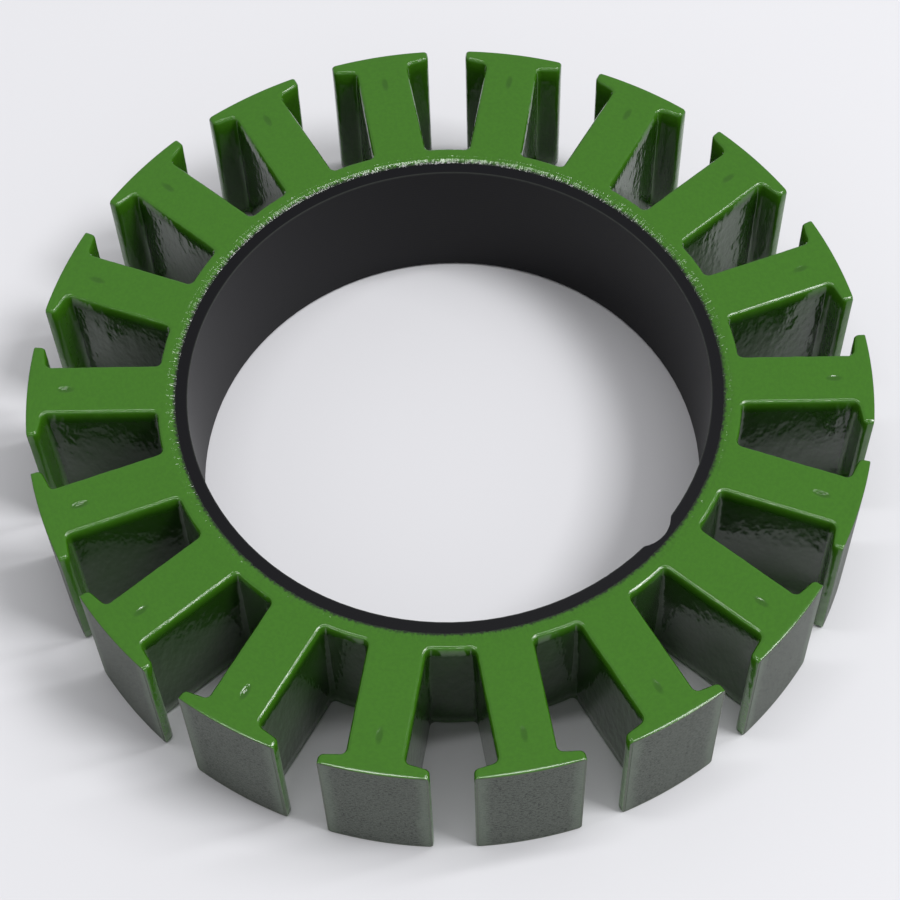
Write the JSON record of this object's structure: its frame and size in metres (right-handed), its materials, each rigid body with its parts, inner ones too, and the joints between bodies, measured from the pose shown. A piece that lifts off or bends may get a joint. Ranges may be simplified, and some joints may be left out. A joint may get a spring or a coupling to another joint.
{
  "type": "stator lamination stack",
  "caption": "Ring-shaped motor stator core: T-shaped teeth point outwards from a thin yoke, green powder coat, bare ground pole faces and a bare black bore with one round notch.",
  "frame": {"origin": "on the bore's axis, at the underside of the coat, where the part rests", "axes": "+Z along the stack's axis, upwards; +X along the centre line of the tooth that the bore's notch faces"},
  "size_m": [0.1, 0.0998, 0.0207],
  "materials": {
    "electrical_steel": "ground dull at the pole faces, dark oxide at the bore",
    "powder_coat": "glossy green epoxy powder coat"
  },
  "bodies": {
    "root": {"lamination_01": "electrical_steel", "lamination_02": "electrical_steel", "lamination_03": "electrical_steel", "lamination_04": "electrical_steel", "lamination_05": "electrical_steel", "lamination_06": "electrical_steel", "lamination_07": "electrical_steel", "lamination_08": "electrical_steel", "lamination_09": "electrical_steel", "lamination_10": "electrical_steel", "lamination_11": "electrical_steel", "lamination_12": "electrical_steel", "lamination_13": "electrical_steel", "lamination_14": "electrical_steel", "lamination_15": "electrical_steel", "lamination_16": "electrical_steel", "lamination_17": "electrical_steel", "lamination_18": "electrical_steel", "lamination_19": "electrical_steel", "lamination_20": "electrical_steel", "lamination_21": "electrical_steel", "lamination_22": "electrical_steel", "lamination_23": "electrical_steel", "lamination_24": "electrical_steel", "lamination_25": "electrical_steel", "lamination_26": "electrical_steel", "lamination_27": "electrical_steel", "lamination_28": "electrical_steel", "lamination_29": "electrical_steel", "lamination_30": "electrical_steel", "lamination_31": "electrical_steel", "lamination_32": "electrical_steel", "lamination_33": "electrical_steel", "lamination_34": "electrical_steel", "lamination_35": "electrical_steel", "lamination_36": "electrical_steel", "lamination_37": "electrical_steel", "lamination_38": "electrical_steel", "lamination_39": "electrical_steel", "lamination_40": "electrical_steel", "insulation_coating": "powder_coat"}
  },
  "joints": []
}
